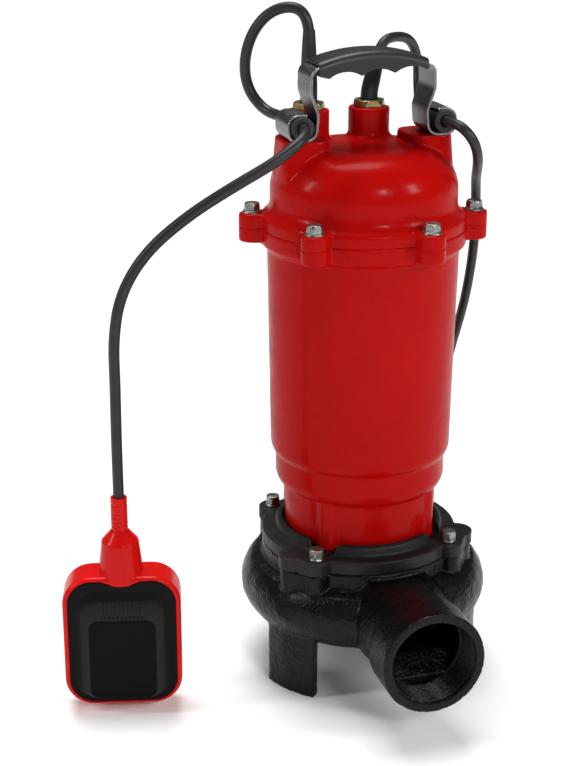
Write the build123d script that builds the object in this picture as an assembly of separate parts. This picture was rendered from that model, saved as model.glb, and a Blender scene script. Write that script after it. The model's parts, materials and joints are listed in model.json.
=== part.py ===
from build123d import *
from math import atan2, cos, degrees, pi, radians, sin, tan
import os

# Submersible dirty-water pump: cast-iron motor housing over a volute on three legs, a carry handle,
# a power cable and a float switch on its own cable.
# Millimetres, +Z up. The origin is on the motor axis, level with the undersides of the feet.
# The discharge port looks along -Y and the carry handle runs along X.

# ---- heights along the motor axis -------------------------------------------------------------
LEG_TOP = 43.0          # underside of the volute, top of the clear height under the pump
VOLUTE_TOP = 94.0       # joint between the volute and the oil chamber cover
COVER_TOP = 104.0       # joint between the cover and the motor housing
NECK_TOP = 139.0        # top of the narrow neck of the housing
BAND_TOP = 165.0        # top of the middle band of the housing
FLANGE_JOINT = 326.5    # joint between the motor housing and the cap
FLANGE_TOP = 335.8      # top of the cap's bolt lugs
SHOULDER = 352.0        # where the cap starts to curve inwards
DOME_TOP = 385.0        # top of the cap
BOSS_TOP = 389.0        # flat tops of the two handle bosses
TOWER_TOP = 403.5       # tops of the two cable towers
GRIP_TOP = 446.5        # crown of the carry grip

# ---- radii -------------------------------------------------------------------------------------
HOUSING_R = 64.0
BAND_R = 60.2
NECK_R = 54.5
STATOR_R = 56.0
FLANGE_R = 71.0
LUG_R = 9.2
HOUSING_LUG = 10.5           # height of the housing's flange lugs
FLANGE_BOLT_CIRCLE = 76.0
FLANGE_BOLTS = 6
FLANGE_BOLT_TURN = -43.5     # first flange bolt, degrees from the port direction
VOLUTE_BOLT_CIRCLE = 70.0
VOLUTE_BOLTS = 4
VOLUTE_BOLT_TURN = -43.5
EAR_R = 10.5
FLANGE_SEAL_R = 62.3
VOLUTE_SEAL_R = 64.5
COVER_R = 70.0
COLLAR_R = 59.6              # raised collar of the cover, around the foot of the housing
COLLAR_TOP = 111.0
LOBE_CIRCLE = 72.0           # wide lobes beside the two front ears
LOBE_TURNS = (-58.0, 64.0)
VOLUTE_R = 88.8
VOLUTE_MID = 61.5
VOLUTE_SHIFT = 3.7           # the volute and its legs sit this far towards +X
LEG_R = 83.0
LEG_WALL = 7.5
LEG_TURNS = (-58.0, 62.0, 182.0)
LEG_SPREAD = 30.0            # degrees

# ---- discharge port: G2 (2 inch BSP) female thread ---------------------------------------------
PORT_X = 5.0
PORT_FACE = 142.0
PORT_COLLAR_R = 36.0
PORT_COLLAR = 30.0
PORT_NECK_R = 33.0
PORT_THREAD_R = 29.807
PORT_THREAD = 24.0
PORT_BORE_R = 27.0

# ---- handle and towers -------------------------------------------------------------------------
HANDLE_X = -1.5
HANDLE_Y = -7.3
STRIP_W = 28.6
GRIP_W = 31.0
STRIP_T = 2.0
STRIP_X = 42.5
BOSS_X = 46.0
TOWER_Y = 20.5
TOWER_R = 14.1
POWER_X = 10.0
FLOAT_CABLE_X = -33.0
NUT_AF = 19.8
BUSH_R = 6.4
BUSH_LEN = 37.0
BUSH_X = 49.5
BUSH_Z = 398.7

# ---- cables ------------------------------------------------------------------------------------
POWER_D = 6.8
FLOAT_D = 7.4
SLEEVE_R = 5.7

# ---- float switch ------------------------------------------------------------------------------
FLOAT_X = -181.0
FLOAT_Y = -27.5
FLOAT_TURN = -13.3            # degrees about the vertical
FLOAT_LOW = 6.7
FLOAT_W = 80.8
FLOAT_H = 96.6
FLOAT_T = 28.0
FLOAT_NECK_TOP = 157.5
FLOAT_SHOULDER = 126.0       # top of the socket, where the cable collar sits
FACE_W = 73.4
FACE_H = 91.0
FACE_T = 2.5                 # depth of the recess that each face plate sits in
NOTCH_R = 29.0               # the socket's round bite out of the faces
NOTCH_LOW = 97.4
PIVOT_Z = 205.0
RIBS = 11                    # fine upright ribs on the top bevel of each face
BALL_R = 7.5
BALL_TRAVEL = 26.0

# ---- motor and pump internals ------------------------------------------------------------------
STACK_LOW = 196.0
STACK_TOP = 266.0
ROTOR_R = 29.5
STATOR_BORE = 30.0
SLOTS = 24
ROTOR_BARS = 18
SHAFT_R = 10.0
LOWER_BEARING = (152.0, 14.0, 10.0, 23.5)   # underside, width, bore radius, outer radius
UPPER_BEARING = (300.0, 11.0, 7.5, 17.5)
FLOOR_LOW = 143.0            # underside of the floor between the oil chamber and the motor
SEAT_R = 15.0
IMPELLER_R = 52.0
PLATE_SCREW_R = 44.4

UP = (Align.CENTER, Align.CENTER, Align.MIN)      # a solid standing on its place
DOWN = (Align.CENTER, Align.CENTER, Align.MAX)    # a solid hanging from its place

os.makedirs("parts", exist_ok=True)
parts = {}


def keep(name, shape):
    """Name a sub-part and write it out."""
    solids = shape.solids()
    shape = solids[0] if len(solids) == 1 else Compound(children=list(solids))
    shape.label = name
    parts[name] = shape
    export_step(shape, f"parts/{name}.step")


def ring(outer, inner, low, high):
    """A plain tube on the motor axis."""
    height = high - low
    body = Pos(0, 0, low) * Cylinder(outer, height, align=UP)
    if inner <= 0:
        return body
    return body - Pos(0, 0, low) * Cylinder(inner, height, align=UP)


def disc(radius, low, high):
    return ring(radius, 0, low, high)


def turned(points):
    """Turn a closed outline of (radius, height) points about the motor axis."""
    face = make_face(Polyline(*[(r, 0, z) for r, z in points], close=True))
    return revolve(face, Axis.Z, 360)


def polar(radius, angle, z=0.0):
    """A point at an angle measured from the port direction, turning towards +X."""
    a = radians(angle)
    return Vector(radius * sin(a), -radius * cos(a), z)


def around(count, first, radius, z=0.0):
    return [Pos(polar(radius, first + 360 / count * k, z)) for k in range(count)]


def hex_bolt(across, head, flange_r, shank_r, length):
    """A hexagon flange bolt standing on z = 0, head up."""
    bolt = Pos(0, 0, 1.2) * extrude(RegularPolygon(across / 2, 6, major_radius=False), head)
    bolt = bolt & Pos(0, 0, 1.2) * Cone(across * 0.68, across * 0.49, head, align=UP)
    bolt += Cone(flange_r, flange_r - 1.0, 1.5, align=UP)
    bolt += Pos(0, 0, -length) * Cylinder(shank_r, length, align=UP)
    return bolt


# ------------------------------------------------------------------------------------------------
# Casings
# ------------------------------------------------------------------------------------------------

FLANGE_PLACES = around(FLANGE_BOLTS, FLANGE_BOLT_TURN, FLANGE_BOLT_CIRCLE)
VOLUTE_PLACES = around(VOLUTE_BOLTS, VOLUTE_BOLT_TURN, VOLUTE_BOLT_CIRCLE)


def flange_outline(ring_r, lug_r):
    """The outline of the bolt flange: a ring with rounded lugs flowing into it."""
    outline = Circle(ring_r)
    for place in FLANGE_PLACES:
        centre = place.position
        angle = degrees(atan2(centre.Y, centre.X))
        lug = Pos(centre.X, centre.Y) * Circle(lug_r)
        root = Rot(0, 0, angle) * Pos(FLANGE_BOLT_CIRCLE - 9, 0) * Rectangle(18, 2 * lug_r)
        outline += lug + root
    return outline


def motor_housing():
    wall = turned([
        (0, COVER_TOP), (NECK_R - 2.0, COVER_TOP), (NECK_R - 1.5, COVER_TOP + 6.0), (NECK_R, NECK_TOP - 12.0),
        (NECK_R, NECK_TOP),
        (BAND_R - 1.6, NECK_TOP + 3.4), (BAND_R, NECK_TOP + 8.0), (BAND_R, BAND_TOP - 2.0),
        (HOUSING_R - 1.2, BAND_TOP + 1.2), (HOUSING_R - 0.4, BAND_TOP + 5.0),
        (HOUSING_R + 1.9, FLANGE_JOINT - 15.5),
        (HOUSING_R + 2.6, FLANGE_JOINT - 13.6), (FLANGE_R - 2.0, FLANGE_JOINT - 12.2),
        (FLANGE_R - 0.6, FLANGE_JOINT - 10.6), (FLANGE_R - 0.5, FLANGE_JOINT), (0, FLANGE_JOINT)])
    # four lobes under the band carry the screws from below, in line with the volute bolts
    for k in range(VOLUTE_BOLTS):
        place = Pos(polar(NECK_R - 7.5, VOLUTE_BOLT_TURN + 90 * k, COVER_TOP))
        wall += place * Cylinder(10.0, NECK_TOP - COVER_TOP + 2, align=UP)
    flange = extrude(flange_outline(FLANGE_R - 0.5, LUG_R), HOUSING_LUG)
    wall += Pos(0, 0, FLANGE_JOINT - HOUSING_LUG) * flange
    # motor bore, bearing bracket seat, lower bearing seat and oil chamber
    floor_top = LOWER_BEARING[0] + LOWER_BEARING[1]
    wall -= disc(STATOR_R, floor_top + 2, FLANGE_JOINT)
    wall -= disc(STATOR_R + 3.5, FLANGE_JOINT - 15.5, FLANGE_JOINT)
    wall -= disc(LOWER_BEARING[3], LOWER_BEARING[0], floor_top + 3)
    wall -= ring(50.0, 30.0, FLOOR_LOW + 7, floor_top + 3)
    wall -= disc(SEAT_R, FLOOR_LOW, FLOOR_LOW + 6)
    wall -= disc(10.5, FLOOR_LOW, LOWER_BEARING[0] + 1)
    wall -= disc(38.0, COVER_TOP, FLOOR_LOW)
    for place in FLANGE_PLACES:
        hole = Cylinder(2.6, HOUSING_LUG - 1.1, align=DOWN)
        wall -= Pos(place.position + Vector(0, 0, FLANGE_JOINT + 0.1)) * hole
    for k in range(VOLUTE_BOLTS):
        place = Pos(polar(NECK_R - 9.0, VOLUTE_BOLT_TURN + 90 * k, COVER_TOP))
        wall -= place * Cylinder(3.0, 16, align=UP)
    wall -= Pos(0, NECK_R + 1, 126) * Rot(90, 0, 0) * Cylinder(4.0, 40)
    wall -= ring(FLANGE_SEAL_R + 1.35, FLANGE_SEAL_R - 1.35, FLANGE_JOINT - 2.5, FLANGE_JOINT)
    return wall


def cap_shell(grow, top):
    """The turned shape of the cap, or of its inside when grow is negative."""
    r = HOUSING_R + grow
    corner = 30.0 + grow
    knee = r - corner
    edge = (knee + corner * sin(radians(45)), SHOULDER + corner * sin(radians(45)))
    side = Line((r, 0, FLANGE_JOINT), (r, 0, SHOULDER))
    bend = ThreePointArc((r, 0, SHOULDER), (edge[0], 0, edge[1]), (knee, 0, SHOULDER + corner))
    crown = Line((knee, 0, SHOULDER + corner), (0, 0, top))
    back = Line((0, 0, top), (0, 0, FLANGE_JOINT))
    base = Line((0, 0, FLANGE_JOINT), (r, 0, FLANGE_JOINT))
    return revolve(make_face([side, bend, crown, back, base]), Axis.Z, 360)


def handle_boss(side):
    """A flat-topped boss that carries one foot of the handle and flows down the cap."""
    depth = BOSS_TOP - SHOULDER - 2
    top = Pos(HANDLE_X + side * (BOSS_X - 2.5), HANDLE_Y + 5.3, BOSS_TOP) * RectangleRounded(31, 38, 11)
    return extrude(top, -depth, taper=-5) & disc(HOUSING_R - 1.2, SHOULDER, BOSS_TOP)


def upper_cap():
    cap = cap_shell(0.0, DOME_TOP)
    flange = extrude(flange_outline(FLANGE_R - 1.0, LUG_R), FLANGE_TOP - FLANGE_JOINT - 1.2)
    cap += Pos(0, 0, FLANGE_JOINT) * flange
    # the wall flares into the flange
    cap += turned([
        (HOUSING_R - 3, FLANGE_TOP - 3), (HOUSING_R - 0.1, FLANGE_TOP + 7.0),
        (HOUSING_R + 1.2, FLANGE_TOP + 3.0), (HOUSING_R + 3.4, FLANGE_TOP + 0.6),
        (FLANGE_R - 1.5, FLANGE_TOP - 1.2), (FLANGE_R - 1.5, FLANGE_TOP - 3)])
    for place in FLANGE_PLACES:
        lug = Cylinder(LUG_R, FLANGE_TOP - FLANGE_JOINT, align=UP)
        cap += Pos(place.position + Vector(0, 0, FLANGE_JOINT)) * lug
        angle = degrees(atan2(place.position.Y, place.position.X))
        root = Rot(0, 0, angle) * Pos(FLANGE_BOLT_CIRCLE - 10, 0, FLANGE_JOINT) * Box(
            20, 2 * LUG_R, FLANGE_TOP - FLANGE_JOINT, align=UP)
        cap += root
    for side in (-1, 1):
        cap += handle_boss(side)
    for x in (POWER_X, FLOAT_CABLE_X):
        tower = Cylinder(TOWER_R, TOWER_TOP - SHOULDER - 8, align=DOWN)
        foot = Cone(TOWER_R + 4.5, TOWER_R, 6, align=UP)
        cap += Pos(x, TOWER_Y, TOWER_TOP) * tower
        cap += Pos(x, TOWER_Y, DOME_TOP - 5) * foot
    cap -= cap_shell(-7.0, DOME_TOP - 7)
    for x in (POWER_X, FLOAT_CABLE_X):
        neck = Cylinder(SLEEVE_R + 0.3, 60, align=DOWN)
        cap -= Pos(x, TOWER_Y, TOWER_TOP) * Cylinder(8.0, 20, align=DOWN)
        cap -= Pos(x, TOWER_Y, TOWER_TOP) * neck
    for side in (-1, 1):
        screw_x = HANDLE_X + side * BUSH_X
        cap -= Pos(screw_x, HANDLE_Y, BOSS_TOP) * Cylinder(2.6, 22, align=DOWN)
    for place in FLANGE_PLACES:
        cap -= Pos(place.position + Vector(0, 0, FLANGE_JOINT)) * Cylinder(3.2, 40)
    # spigot that centres the cap and clamps the bearing bracket
    cap += ring(STATOR_R + 3.3, STATOR_R - 1.0, FLANGE_JOINT - 9.3, FLANGE_JOINT + 2)
    return cap


def ears(radius, low, high):
    """The four bolt ears; each front ear runs on into a wide lobe of the casting."""
    body = None
    for place in VOLUTE_PLACES:
        ear = Pos(place.position + Vector(0, 0, low)) * Cylinder(radius, high - low, align=UP)
        body = ear if body is None else body + ear
    for turn in LOBE_TURNS:
        body += Pos(polar(LOBE_CIRCLE, turn, low)) * Cylinder(radius, high - low, align=UP)
        side = 1 if turn > 0 else -1
        middle = polar(LOBE_CIRCLE - 3, turn - side * 10, low)
        body += Pos(middle) * Rot(0, 0, turn - side * 10) * Box(20, 2 * radius - 1, high - low, align=UP)
    return body


def chamber(wall):
    """The turned shape of the volute, or of its inside when wall is more than nothing."""
    low = LEG_TOP + wall
    high = VOLUTE_MID + 19 - wall * 0.8
    rim = VOLUTE_R - 8 - wall * 0.7
    outline = make_face([
        Line((0, 0, low), (rim - 1, 0, low)),
        ThreePointArc((rim - 1, 0, low), (VOLUTE_R - wall * 0.8, 0, VOLUTE_MID), (rim, 0, high)),
        Line((rim, 0, high), (COVER_R - wall, 0, high + 3)),
        Line((COVER_R - wall, 0, high + 3), (0, 0, high + 3)),
        Line((0, 0, high + 3), (0, 0, low))])
    return Pos(VOLUTE_SHIFT, 0, 0) * revolve(outline, Axis.Z, 360)


def side_profile(points):
    """A wide block with an outline of (y, height) points, as seen from the side of the port."""
    face = make_face(Polyline(*[(PORT_X, y, z) for y, z in points], close=True))
    return extrude(face, 60, both=True)


def volute_casing():
    body = chamber(0.0)
    body += disc(COVER_R, VOLUTE_MID, VOLUTE_TOP)
    body += ears(EAR_R - 1.0, VOLUTE_MID, VOLUTE_TOP)
    # discharge neck, rising from the port to the volute, and its collar
    at_face = Pos(PORT_X, -PORT_FACE, VOLUTE_MID) * Rot(-90, 0, 0)
    neck = at_face * Pos(0, 0, PORT_COLLAR - 1) * Cone(PORT_NECK_R, PORT_NECK_R + 3, 60, align=UP)
    body += neck & side_profile([
        (-PORT_FACE, 15), (-112, 20), (-100, LEG_TOP), (-50, LEG_TOP), (-50, 90), (-75, 90), (-106, 99),
        (-PORT_FACE, 99)])
    body += at_face * Cylinder(PORT_COLLAR_R, PORT_COLLAR, align=UP)
    # legs
    for turn in LEG_TURNS:
        leg = ring(LEG_R, LEG_R - LEG_WALL, 0, LEG_TOP + 6)
        corners = [polar(130, turn + LEG_SPREAD * share) for share in (-0.5, 0, 0.5)]
        wedge = extrude(make_face(Polyline((0, 0), *[(c.X, c.Y) for c in corners], close=True)), LEG_TOP + 6)
        body += Pos(VOLUTE_SHIFT, 0, 0) * (leg & wedge)
    # flow passage
    body -= chamber(9.0)
    body -= disc(COVER_R - 9, VOLUTE_MID, VOLUTE_TOP)
    body -= at_face * Cylinder(PORT_THREAD_R, PORT_THREAD, align=UP)
    body -= at_face * Cylinder(PORT_BORE_R, 82, align=UP) & side_profile([
        (-PORT_FACE, 34), (-125, 34), (-104, LEG_TOP + 9), (-50, LEG_TOP + 9), (-50, 84), (-90, 84),
        (-112, 92), (-PORT_FACE, 92)])
    body -= disc(40, LEG_TOP - 1, LEG_TOP + 10)
    body -= disc(49, LEG_TOP - 1, LEG_TOP + 5)
    for k in range(4):
        body -= Pos(polar(PLATE_SCREW_R, 45 + 90 * k, LEG_TOP)) * Cylinder(2.1, 8, align=UP)
    for place in VOLUTE_PLACES:
        hole = Cylinder(2.6, 24, align=DOWN)
        body -= Pos(place.position + Vector(0, 0, VOLUTE_TOP + 0.1)) * hole
    return body - ring(VOLUTE_SEAL_R + 1.35, VOLUTE_SEAL_R - 1.35, VOLUTE_TOP - 2.5, VOLUTE_TOP)


def oil_chamber_cover():
    cover = disc(COVER_R, VOLUTE_TOP, COVER_TOP)
    cover += ears(EAR_R, VOLUTE_TOP, COVER_TOP)
    # raised collar around the foot of the housing, open where the housing's lobes come down
    collar = turned([
        (COLLAR_R - 4.5, COVER_TOP - 1), (COLLAR_R + 2, COVER_TOP - 1), (COLLAR_R, COVER_TOP + 5.5),
        (COLLAR_R - 1.5, COLLAR_TOP), (COLLAR_R - 4.5, COLLAR_TOP)])
    for k in range(VOLUTE_BOLTS):
        gap = Pos(polar(NECK_R - 4.5, VOLUTE_BOLT_TURN + 90 * k, COVER_TOP - 2))
        collar -= gap * Cylinder(12.5, 20, align=UP)
    cover += collar
    cover += disc(COVER_R - 9.2, VOLUTE_TOP - 4, VOLUTE_TOP + 1)
    cover += disc(37.8, COVER_TOP - 1, COVER_TOP + 6)
    cover -= disc(32, COVER_TOP, COVER_TOP + 7)
    cover += disc(21, VOLUTE_TOP, COVER_TOP + 2)
    cover -= disc(SEAT_R, COVER_TOP - 4, COVER_TOP + 3)
    cover -= disc(10.5, VOLUTE_TOP - 5, COVER_TOP)
    for place in VOLUTE_PLACES:
        cover -= Pos(place.position + Vector(0, 0, VOLUTE_TOP)) * Cylinder(3.2, 40)
    for k in range(VOLUTE_BOLTS):
        turn = VOLUTE_BOLT_TURN + 90 * k
        cover -= Pos(polar(NECK_R - 9.0, turn, VOLUTE_TOP)) * Cylinder(3.2, 30)
        cover -= Pos(polar(NECK_R - 9.0, turn, VOLUTE_TOP - 5)) * Cylinder(5.4, 9, align=UP)
    return cover


keep("motor_housing", motor_housing())
keep("upper_cap", upper_cap())
keep("volute_casing", volute_casing())
keep("oil_chamber_cover", oil_chamber_cover())

# ------------------------------------------------------------------------------------------------
# Gaskets and fasteners
# ------------------------------------------------------------------------------------------------


def flange_bolts():
    length = FLANGE_TOP - FLANGE_JOINT + HOUSING_LUG - 2.2
    bolt = hex_bolt(10, 5.6, 7.1, 2.55, length)
    return [Pos(p.position + Vector(0, 0, FLANGE_TOP)) * Rot(0, 0, 17 * k) * bolt
            for k, p in enumerate(FLANGE_PLACES)]


def volute_bolts():
    return [Pos(p.position + Vector(0, 0, COVER_TOP)) * Rot(0, 0, 23 * k) * hex_bolt(9.6, 6.4, 5.8, 2.55, 30)
            for k, p in enumerate(VOLUTE_PLACES)]


def socket_screw(head_r, head, shank_r, length):
    """A cap screw with its head above z = 0."""
    screw = Cylinder(head_r, head, align=UP)
    screw -= Pos(0, 0, head - 2.5) * extrude(RegularPolygon(head_r * 0.5, 6), 3)
    return screw + Cylinder(shank_r, length, align=DOWN)


def neck_screws():
    """Screws that hold the oil chamber cover up against the motor housing, heads below."""
    places = [polar(NECK_R - 9.0, VOLUTE_BOLT_TURN + 90 * k, COVER_TOP - 6.0) for k in range(VOLUTE_BOLTS)]
    return [Pos(p) * Rot(180, 0, 0) * socket_screw(4.9, 4.0, 2.9, 20) for p in places]


def group(solids):
    return Compound(children=[s for item in solids for s in item.solids()])


keep("flange_bolts", group(flange_bolts()))
keep("volute_bolts", group(volute_bolts()))
keep("cover_screws", group(neck_screws()))


def seal_ring(radius, top):
    """An O-ring in its groove, level with the joint face."""
    return revolve(Pos(radius, 0, top - 1.25) * Rot(90, 0, 0) * Circle(1.2), Axis.Z, 360)


keep("flange_seal", seal_ring(FLANGE_SEAL_R, FLANGE_JOINT))
keep("volute_seal", seal_ring(VOLUTE_SEAL_R, VOLUTE_TOP))

# ------------------------------------------------------------------------------------------------
# Motor: stator, rotor, shaft and bearings
# ------------------------------------------------------------------------------------------------


def stator_slot(grow, low, high):
    """One winding slot, closed towards the bore by its wedge."""
    slot = Pos(0, 39, low) * extrude(RectangleRounded(4.6 + grow, 13 + grow, 1.6), high - low)
    return [Rot(0, 0, 360 / SLOTS * k) * slot for k in range(SLOTS)]


def stator_core():
    core = ring(STATOR_R - 0.02, STATOR_BORE, STACK_LOW, STACK_TOP)
    for slot in stator_slot(0.0, STACK_LOW - 1, STACK_TOP + 1):
        core -= slot
    return core


def stator_windings():
    """Copper in the slots, joined by the bulging end turns above and below the core."""
    coil = None
    for low, high in ((STACK_LOW - 20, STACK_LOW - 1.5), (STACK_TOP + 1.5, STACK_TOP + 20)):
        middle = (low + high) / 2
        outline = Pos(42, 0, middle) * Rot(90, 0, 0) * RectangleRounded(17, high - low, 6)
        end = revolve(outline, Axis.Z, 360)
        coil = end if coil is None else coil + end
    for slot in stator_slot(-0.4, STACK_LOW - 3, STACK_TOP + 3):
        coil += slot
    return coil


def rotor_bar(radius, low, high):
    bar = Pos(0, ROTOR_R - 4.2, low) * Cylinder(radius, high - low, align=UP)
    return [Rot(0, 0, 360 / ROTOR_BARS * k) * bar for k in range(ROTOR_BARS)]


def rotor_core():
    core = ring(ROTOR_R, SHAFT_R + 1.0, STACK_LOW, STACK_TOP)
    for bar in rotor_bar(2.2, STACK_LOW - 1, STACK_TOP + 1):
        core -= bar
    return core


def rotor_cage():
    """Cast aluminium squirrel cage: bars, two end rings and the small fan blades on them."""
    cage = ring(ROTOR_R - 0.4, 20.0, STACK_TOP, STACK_TOP + 8)
    cage += ring(ROTOR_R - 0.4, 20.0, STACK_LOW - 8, STACK_LOW)
    for bar in rotor_bar(2.18, STACK_LOW - 1, STACK_TOP + 1):
        cage += bar
    for k in range(6):
        blade = Pos(0, 24.5, 0) * Box(1.6, 8, 6, align=UP)
        cage += Rot(0, 0, 60 * k) * Pos(0, 0, STACK_TOP + 7.5) * blade
        cage += Rot(0, 0, 60 * k) * Pos(0, 0, STACK_LOW - 13.5) * blade
    return cage


SHAFT_STEPS = [
    (5.0, 54.5, 64.0), (7.0, 64.0, 90.0), (8.0, 90.0, 150.0), (LOWER_BEARING[2], 150.0, 168.0),
    (11.0, 168.0, 291.0), (9.5, 291.0, 299.9), (UPPER_BEARING[2], 299.9, 313.0)]


def shaft():
    body = None
    for radius, low, high in SHAFT_STEPS:
        step = disc(radius, low, high)
        body = step if body is None else body + step
    body -= Pos(0, 6.2, 66) * Box(4, 3, 20, align=UP)
    body = chamfer(body.faces().sort_by(Axis.Z)[0].edges(), 0.8)
    return body


def bearing_race(bearing, which):
    """One race of a ball bearing, with its groove."""
    low, width, bore, outer = bearing
    pitch = (bore + outer) / 2
    ball = (outer - bore) * 0.3
    if which == "inner":
        race = ring(pitch - ball * 0.55, bore, low, low + width)
    else:
        race = ring(outer, pitch + ball * 0.55, low, low + width)
    groove = revolve(Pos(pitch, 0, low + width / 2) * Rot(90, 0, 0) * Circle(ball + 0.25), Axis.Z, 360)
    return race - groove


def bearing_balls(bearing, count):
    """The balls and the cage that spaces them."""
    low, width, bore, outer = bearing
    pitch = (bore + outer) / 2
    ball = (outer - bore) * 0.3
    middle = low + width / 2
    cage = ring(pitch + ball * 0.3, pitch - ball * 0.3, middle - ball * 0.7, middle + ball * 1.2)
    balls = []
    for k in range(count):
        place = Pos(polar(pitch, 360 / count * k, middle))
        cage -= place * Sphere(ball + 0.1)
        balls.append(place * Sphere(ball))
    return group([cage] + balls)


def upper_bearing_bracket():
    """The round plate that holds the upper bearing across the top of the housing."""
    low = FLANGE_JOINT - 15.5
    plate = disc(STATOR_R + 3.2, low, low + 6)
    plate += ring(24.0, 17.5, UPPER_BEARING[0], low + 1)
    plate -= disc(9.0, low - 1, low + 7)
    for k in range(4):
        window = extrude(RectangleRounded(30, 14, 6), 8)
        plate -= Pos(polar(41, 45 + 90 * k, low - 1)) * Rot(0, 0, 45 + 90 * k) * window
    return plate


def run_capacitor():
    can = Pos(0, -23, 336) * Rot(0, 90, 0) * Cylinder(14.5, 62)
    can = fillet(can.edges(), 2.0)
    for y in (-27, -19):
        can += Pos(33, y, 336) * Box(8, 0.8, 6)
    return can


def terminal_block():
    """A five-way block in which the two cables meet the winding leads."""
    block = Pos(-8, 28, 317) * Box(44, 16, 15, align=UP)
    for k in range(5):
        x = -8 + (k - 2) * 8.4
        block -= Pos(x, 24.5, 332) * Cylinder(2.2, 14)
        block -= Pos(x, 31.5, 332) * Cylinder(2.2, 14)
        block -= Pos(x + 4.2, 28, 332) * Box(0.8, 17, 10)
    return block


keep("stator_core", stator_core())
keep("stator_windings", stator_windings())
keep("rotor_core", rotor_core())
keep("rotor_cage", rotor_cage())
keep("rotor_shaft", shaft())
for place, bearing, count in (("lower", LOWER_BEARING, 8), ("upper", UPPER_BEARING, 7)):
    keep(f"{place}_bearing_outer_race", bearing_race(bearing, "outer"))
    keep(f"{place}_bearing_inner_race", bearing_race(bearing, "inner"))
    keep(f"{place}_bearing_balls", bearing_balls(bearing, count))
keep("upper_bearing_bracket", upper_bearing_bracket())
keep("run_capacitor", run_capacitor())
keep("terminal_block", terminal_block())

# ------------------------------------------------------------------------------------------------
# Shaft seals and hydraulics
# ------------------------------------------------------------------------------------------------


def seal_seat(low, high):
    return ring(SEAT_R - 0.02, 8.6, low, high)


def seal_head(low, high, up):
    """A rotating seal ring with the shoulder that the spring pushes on."""
    middle = high - 3 if up else low + 3
    face, body = ((middle, high), (low, middle)) if up else ((low, middle), (middle, high))
    return ring(12.5, 8.05, *face) + ring(14.0, 8.05, *body)


def seal_spring(low, high):
    """The coil spring that pushes both seal heads apart."""
    coils = 4
    path = Helix((high - low - 2.2) / coils, high - low - 2.2, 11.2)
    section = Plane(origin=path @ 0, z_dir=path % 0) * Circle(0.9)
    return Pos(0, 0, low + 1.1) * sweep(section, path=path, is_frenet=True)


def impeller():
    """An open impeller with three swept vanes under its back plate."""
    top = VOLUTE_TOP - 6.5
    back = disc(IMPELLER_R, top - 5, top) + disc(14.0, LEG_TOP + 21, top)
    for k in range(3):
        spine = ThreePointArc((11, 0), (34, 12), (IMPELLER_R - 1, -4))
        outer_arc = ThreePointArc((IMPELLER_R - 2, -8.5), (33, 6.0), (11, -6))
        vane = make_face([spine, Line(spine @ 1, outer_arc @ 0), outer_arc, Line(outer_arc @ 1, spine @ 0)])
        back += Rot(0, 0, 120 * k) * Pos(0, 0, LEG_TOP + 13.5) * extrude(vane, top - LEG_TOP - 16)
    back -= disc(7.03, LEG_TOP, top + 1)
    back -= Pos(0, 6.5, LEG_TOP + 10) * Box(4.02, 5.0, 60, align=UP)
    return back


def shaft_key():
    return Pos(0, 6.85, 66) * Box(3.96, 4.2, 20, align=UP)


def impeller_nut():
    nut = Pos(0, 0, LEG_TOP + 13) * extrude(RegularPolygon(8.0, 6, major_radius=False), 8)
    return nut - disc(5.0, LEG_TOP, LEG_TOP + 40)


def suction_plate():
    """The wear plate in the base, with the suction eye and its countersunk screw holes."""
    plate = disc(48.8, LEG_TOP, LEG_TOP + 5) + disc(39.8, LEG_TOP, LEG_TOP + 9)
    plate -= Pos(0, 0, LEG_TOP - 1) * Cone(29, 24, 11, align=UP)
    for k in range(3):
        notch = Pos(polar(25, 20 + 120 * k, LEG_TOP - 1)) * Cylinder(6.0, 12, align=UP)
        plate -= notch
    for k in range(4):
        place = Pos(polar(PLATE_SCREW_R, 45 + 90 * k, LEG_TOP))
        plate -= place * Cylinder(2.3, 20)
        plate -= place * Cone(4.2, 2.3, 1.9, align=UP)
    return plate


def plate_screw():
    screw = Cone(4.0, 2.1, 1.9, align=UP)
    screw += Cylinder(2.0, 8, align=UP)
    return screw - Box(6, 0.9, 1.6)


seats = [seal_seat(COVER_TOP - 4, COVER_TOP + 2), seal_seat(FLOOR_LOW, FLOOR_LOW + 6)]
keep("seal_seats", group(seats))
keep("seal_head_pump_side", seal_head(COVER_TOP + 2, COVER_TOP + 11, False))
keep("seal_spring", seal_spring(COVER_TOP + 11, FLOOR_LOW - 9))
keep("seal_head_motor_side", seal_head(FLOOR_LOW - 9, FLOOR_LOW, True))
keep("impeller", impeller())
keep("impeller_key", shaft_key())
keep("impeller_nut", impeller_nut())
keep("suction_plate", suction_plate())
plate_places = around(4, 45, PLATE_SCREW_R, LEG_TOP)
keep("suction_plate_screws", group([place * plate_screw() for place in plate_places]))


def oil_plug():
    plug = Pos(0, NECK_R, 126) * Rot(-90, 0, 0) * (
        Cylinder(3.95, 12, align=DOWN)
        + Cylinder(6.0, 3.5, align=UP))
    return plug - Pos(0, NECK_R + 4, 126) * Box(1.4, 4, 14)


keep("oil_plug", oil_plug())

# ------------------------------------------------------------------------------------------------
# Carry handle
# ------------------------------------------------------------------------------------------------


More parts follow.
